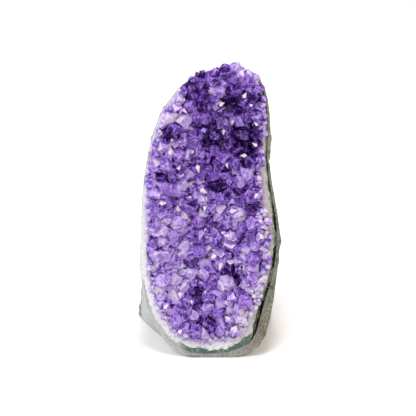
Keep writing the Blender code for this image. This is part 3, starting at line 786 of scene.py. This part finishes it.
# The points with a painted glint: their places on the sawn face in mm, radii in mm, and how deep they are
# rooted.
FLASHES = (
    (-17, 182), (11, 166), (24, 192), (30, 186), (17, 173), (9, 186), (-27, 153), (-8, 140), (-20, 140),
    (14, 142), (26, 149), (18, 109), (-22, 110), (34, 122), (-4, 124), (14, 90), (8, 69), (-12, 42),
    (15, 30), (19, 22), (34, 172), (33, 158), (-33, 116), (-38, 80), (-2, 111), (4, 74), (-20, 47),
    (10, 53), (37, 92), (-30, 40),
)  # fmt: skip
FLASH_RADII = (2.6, 4.2)
FLASH_PRISM = 1.0 * MM
FLASH_ROOT = 5.0 * MM

# At the top, a little right of the middle, the crystals lean out over the rim like a fan.
TOP_UP = (180 * MM, 196 * MM)
TOP_ACROSS = 13 * MM
FAN_MIDDLE_UP = 130 * MM

front_mesh = bmesh.new()
for node in ("crystal_bed", "quartz_lining", "celadonite_seam", "basalt_host"):
    front_mesh.from_mesh(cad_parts[node].data)
front_tree = BVHTree.FromBMesh(front_mesh)
for node in large_nodes:
    front_mesh.from_mesh(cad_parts[node].data)
full_tree = BVHTree.FromBMesh(front_mesh)


def bed_plane(across, up, reach=5 * MM):
    """The depth and the normal of the bed round a place, from rays that meet its front."""
    rows, depths = [], []
    for i in range(-2, 3):
        for j in range(-2, 3):
            a, b = across + i * reach / 2, up + j * reach / 2
            hit = front_tree.ray_cast(on_face(a, b, -RAY_START), -FACE_NORMAL)[0]
            if hit is not None and off_face(hit)[2] < DEEPEST_BED:
                rows.append((a - across, b - up, 1.0))
                depths.append(off_face(hit)[2])
    rows, depths = np.array(rows), np.array(depths)
    keep = depths <= np.quantile(depths, 0.75)
    slope_x, slope_y, depth = np.linalg.lstsq(rows[keep], depths[keep], rcond=None)[0]
    along = on_face(1, 0, slope_x) - on_face(0, 0)
    upward = on_face(0, 1, slope_y) - on_face(0, 0)
    return max(-1 * MM, depth), along.cross(upward).normalized()


def crystal_point(radius, prism, small_back, unevenness, root, rng):
    """A quartz point on the origin: a six-sided prism cut by three large end faces and three small ones."""
    bm = bmesh.new()
    apex = prism + radius * math.cos(math.pi / 6) * math.tan(END_FACE_ANGLE)
    tall = apex + radius + root
    bmesh.ops.create_cone(bm, cap_ends=True, segments=6, radius1=radius, radius2=radius, depth=tall)
    bmesh.ops.translate(bm, verts=bm.verts, vec=(0, 0, tall / 2 - root))
    for side in range(6):
        turn = math.pi / 6 + side * math.pi / 3
        back = (small_back if side % 2 else 0) + unevenness * (rng.random() - 0.5)
        cut = bmesh.ops.bisect_plane(
            bm,
            geom=bm.verts[:] + bm.edges[:] + bm.faces[:],
            plane_co=(0, 0, apex + radius * back),
            plane_no=(
                math.sin(END_FACE_ANGLE) * math.cos(turn),
                math.sin(END_FACE_ANGLE) * math.sin(turn),
                math.cos(END_FACE_ANGLE),
            ),
            clear_outer=True,
        )
        edges = [item for item in cut["geom_cut"] if isinstance(item, bmesh.types.BMEdge)]
        bmesh.ops.contextual_create(bm, geom=edges)
    return bm, apex


def stand_point(across, up, radius, prism, root, foot, facing, tint, flash=None):
    """Adds one small point to the bed, with its foot at a place and its axis along the facing. A point with a
    painted glint has six even end faces, and any other has three large ones and three small."""
    small_back, unevenness = (rng.uniform(0.1, 0.6), 0.25) if flash is None else (0.0, 0.05)
    bm, apex = crystal_point(radius, prism, small_back, unevenness, root, rng)
    bmesh.ops.rotate(bm, verts=bm.verts, cent=(0, 0, 0), matrix=facing)
    tall = apex + root
    axis = facing @ Vector((0, 0, 1))
    edge_width = SMALL_BEVEL if radius > BEVELLED_FROM else 0.0
    mark(bm, lambda co: (co.dot(axis) + root) / tall, tint, rng, 1.0, edge_width, flash=flash)
    bmesh.ops.translate(bm, verts=bm.verts, vec=foot)
    single = bpy.data.meshes.new("single")
    bm.to_mesh(single)
    bm.free()
    druse.from_mesh(single)
    bpy.data.meshes.remove(single)
    placed.append((across, up, radius))


def beside_axis(point, foot, axis):
    """How far a point lies beside the axis of a large crystal."""
    return ((point - foot) - (point - foot).dot(axis) * axis).length


def edge_margin(across, up, radius, high, finest):
    """How far inside the edge of the crystals a point of that radius has to stand."""
    left = step_between(-across, 5 * MM, 25 * MM)
    right = step_between(across, 20 * MM, 34 * MM)
    if finest:
        ragged = noise.noise(Vector((across, up, 0)) / (5 * MM))
        margin = 2 * MM * (left - 0.4 - 0.3 * right - 1.6 * ragged)
        if up > 180 * MM or across < 0 and up > 140 * MM:
            margin = max(margin, 0)
    else:
        margin = radius * (0.75 - 0.75 * high)
    if not finest or across < 0:
        beside = step_between(abs(across), 15 * MM, 30 * MM)
        margin += 1.5 * MM * beside * step_between(140 * MM - up, 0, 25 * MM)
    return margin


rng = random.Random(DRUSE_SEED)
druse = merged_copy("crystal_bed")
mark(druse, lambda co: 0.0, 0.0, rng)
placed = []

for across, up in FLASHES:
    across, up = across * MM, up * MM
    radius = rng.uniform(*FLASH_RADII) * MM
    front = full_tree.ray_cast(on_face(across, up, -RAY_START), -FACE_NORMAL)[0]
    foot = on_face(across, up, min(bed_plane(across, up)[0] - 3 * MM, off_face(front)[2] + 1 * MM))
    end_face = Vector((0, math.sin(END_FACE_ANGLE), math.cos(END_FACE_ANGLE)))
    sight = (away + Vector((rng.uniform(-0.4, 0.4), 0, rng.uniform(-0.3, 0.5)))).normalized()
    facing = Matrix.Rotation(rng.random() * math.tau, 3, sight)
    facing = facing @ end_face.rotation_difference(sight).to_matrix()
    stand_point(across, up, radius, FLASH_PRISM, FLASH_ROOT, foot, facing, local_tint(across, up, rng), sight)

for radius_mm, tries, spacing in POINT_SIZES:
    for _ in range(tries):
        across, up = rng.uniform(-50, 50) * MM, rng.uniform(8, 212) * MM
        radius = radius_mm * MM * rng.uniform(0.85, 1.15)
        if any(math.hypot(across - a, up - b) < spacing * (radius + r) for a, b, r in placed):
            continue
        inside = edge_distance(across, up)
        high = step_between(up, *TOP_UP) * step_between(24 * MM - abs(across - TOP_ACROSS), 0, 8 * MM)
        if inside < edge_margin(across, up, radius, high, radius_mm <= FINEST_MM):
            continue
        depth, normal = bed_plane(across, up)
        foot = on_face(across, up, depth)
        if any(beside_axis(foot, f, ax) < CLEAR_OF_LARGE * r + 0.2 * radius for f, ax, r in large):
            continue
        over_rim = high * (1 - step_between(inside, 0, 9 * MM))
        outwards = (foot - on_face(0, FAN_MIDDLE_UP)).normalized()
        facing = normal.lerp(FACE_NORMAL, 0.5) + outwards * 0.9 * over_rim
        facing = facing.to_track_quat("Z", "Y").to_matrix()
        tilt = MOST_LEAN * rng.random() ** 0.6
        lean = Matrix.Rotation(rng.random() * math.tau, 3, "Z") @ Matrix.Rotation(tilt, 3, "X")
        facing = facing @ lean @ Matrix.Rotation(rng.random() * math.tau, 3, "Z")
        tint = local_tint(across, up, rng) + 0.03 * (radius_mm - 3.5)
        tint += rng.uniform(-0.1, 0.4) * step_between(2 * MM - inside, 0, 2.5 * MM) * (1 - high)
        prism = rng.uniform(*PRISM_HEIGHTS) * MM - 0.3 * radius
        stand_point(across, up, radius, prism, SMALL_ROOT, foot, facing, tint)
piece("small_points", druse, amethyst, "crystal_bed")
